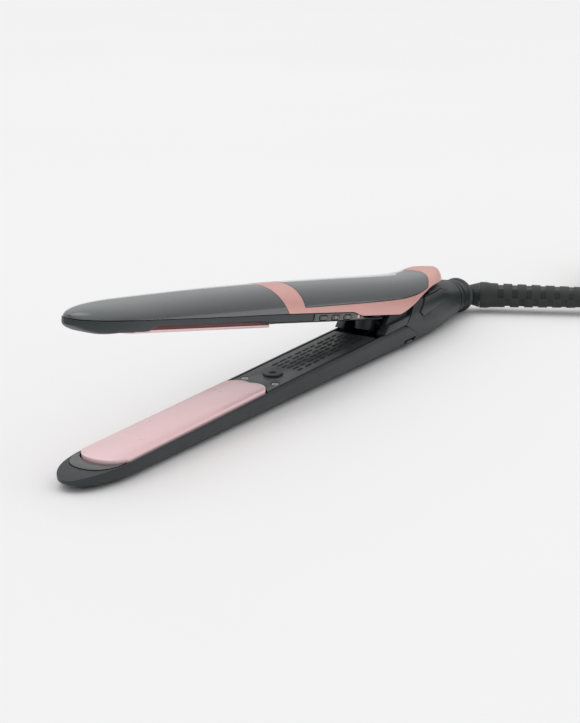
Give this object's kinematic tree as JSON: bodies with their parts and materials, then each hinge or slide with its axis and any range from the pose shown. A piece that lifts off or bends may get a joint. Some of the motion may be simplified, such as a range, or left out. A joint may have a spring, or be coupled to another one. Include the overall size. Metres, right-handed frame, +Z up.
{
  "type": "flat iron",
  "caption": "Hair straightener with two sprung arms, floating plates, a trimmed handle with side buttons, and a swivelling mains cord.",
  "frame": {"origin": "middle of the iron's bounding box on the surface it lies on, leaving out the cord, its plug and its strain relief", "axes": "+X from the tips to the cord end, +Z up, -Y the side with the buttons"},
  "size_m": [0.4348, 0.1339, 0.0671],
  "materials": {
    "charcoal_plastic": "satin",
    "gunmetal_gloss": "gloss",
    "black_gloss": "gloss",
    "rose_metallic": "satin metallic",
    "ceramic_pink": "smooth",
    "steel": "brushed",
    "carrier_aluminium": "plain",
    "heater_ceramic": "plain",
    "brass": "plain",
    "black_rubber": "matte",
    "silicone": "matte",
    "lens": "frosted",
    "board_green": "plain"
  },
  "bodies": {
    "lower_arm": {"lower_shell": "charcoal_plastic", "lower_inner_cover": "charcoal_plastic", "lower_tip_insert": "black_gloss", "hinge_fork": "charcoal_plastic", "rear_cuff": "charcoal_plastic", "cuff_panel_near": "black_gloss", "cuff_panel_far": "black_gloss", "neck_collar": "black_rubber", "rest_bumper": "black_rubber", "cover_screw_near": "steel", "cover_screw_far": "steel", "lower_pad_front": "silicone", "lower_pad_rear": "silicone", "hinge_pin": "steel", "hinge_washer_near": "brass", "hinge_washer_far": "brass", "hinge_spring": "steel"},
    "lower_plate_float": {"lower_plate": "ceramic_pink", "lower_heater": "heater_ceramic", "lower_plate_carrier": "carrier_aluminium"},
    "upper_arm": {"upper_front_cover": "gunmetal_gloss", "trim_ring": "rose_metallic", "handle_panel": "gunmetal_gloss", "tail_liner": "charcoal_plastic", "upper_housing": "charcoal_plastic", "upper_tip_insert": "black_gloss", "button_panel": "black_gloss", "status_lens": "lens", "circuit_board": "board_green", "upper_pad_front": "silicone", "upper_pad_rear": "silicone"},
    "upper_plate_float": {"upper_plate": "ceramic_pink", "upper_heater": "heater_ceramic", "upper_plate_carrier": "carrier_aluminium"},
    "minus_button": {"button_minus": "black_gloss"},
    "power_button": {"button_power": "black_gloss"},
    "plus_button": {"button_plus": "black_gloss"},
    "lock": {"lock_slider": "black_gloss"},
    "cord_swivel": {"swivel_ball": "black_rubber", "cord_lead": "black_rubber", "cord_coil": "black_rubber", "cord_tail": "black_rubber", "cord_tie": "black_rubber", "plug_body": "black_rubber", "plug_pin_1": "brass", "plug_pin_2": "brass"},
    "relief": {"strain_relief": "black_rubber"}
  },
  "joints": [
    {"name": "arm_hinge", "type": "hinge", "parent": "lower_arm", "child": "upper_arm", "pos_m": [0.07033, 0, 0.01169], "axis": [0, 1, 0], "range_deg": [-13.2, 0], "stiffness_Nm_per_rad": 0.6, "springref_deg": 28.65, "deforming": ["hinge_spring"]},
    {"name": "lower_plate_press", "type": "slide", "parent": "lower_arm", "child": "lower_plate_float", "axis": [0.0262, 0, -0.9997], "range_m": [0, 0.0005], "stiffness_N_per_m": 4000, "springref_m": -0.0005},
    {"name": "upper_plate_press", "type": "slide", "parent": "upper_arm", "child": "upper_plate_float", "axis": [0.2028, 0, 0.9792], "range_m": [0, 0.0005], "stiffness_N_per_m": 4000, "springref_m": -0.0005},
    {"name": "minus_press", "type": "slide", "parent": "upper_arm", "child": "minus_button", "axis": [0, 1, 0], "range_m": [0, 0.0006], "stiffness_N_per_m": 800, "springref_m": -0.0005},
    {"name": "power_press", "type": "slide", "parent": "upper_arm", "child": "power_button", "axis": [0, 1, 0], "range_m": [0, 0.0006], "stiffness_N_per_m": 800, "springref_m": -0.0005},
    {"name": "plus_press", "type": "slide", "parent": "upper_arm", "child": "plus_button", "axis": [0, 1, 0], "range_m": [0, 0.0006], "stiffness_N_per_m": 800, "springref_m": -0.0005},
    {"name": "lock_slide", "type": "slide", "parent": "lower_arm", "child": "lock", "axis": [0.9997, 0, 0.0262], "range_m": [0, 0.0042]},
    {"name": "cord_yaw", "type": "hinge", "parent": "lower_arm", "child": "cord_swivel", "pos_m": [0.14895, 0, 0.00815], "axis": [0, 0, 1], "range_deg": [-2, 128]},
    {"name": "relief_spin", "type": "hinge", "parent": "cord_swivel", "child": "relief", "pos_m": [0.15317, -0.00829, 0.00815], "axis": [0.454, -0.891, 0], "continuous": true}
  ]
}
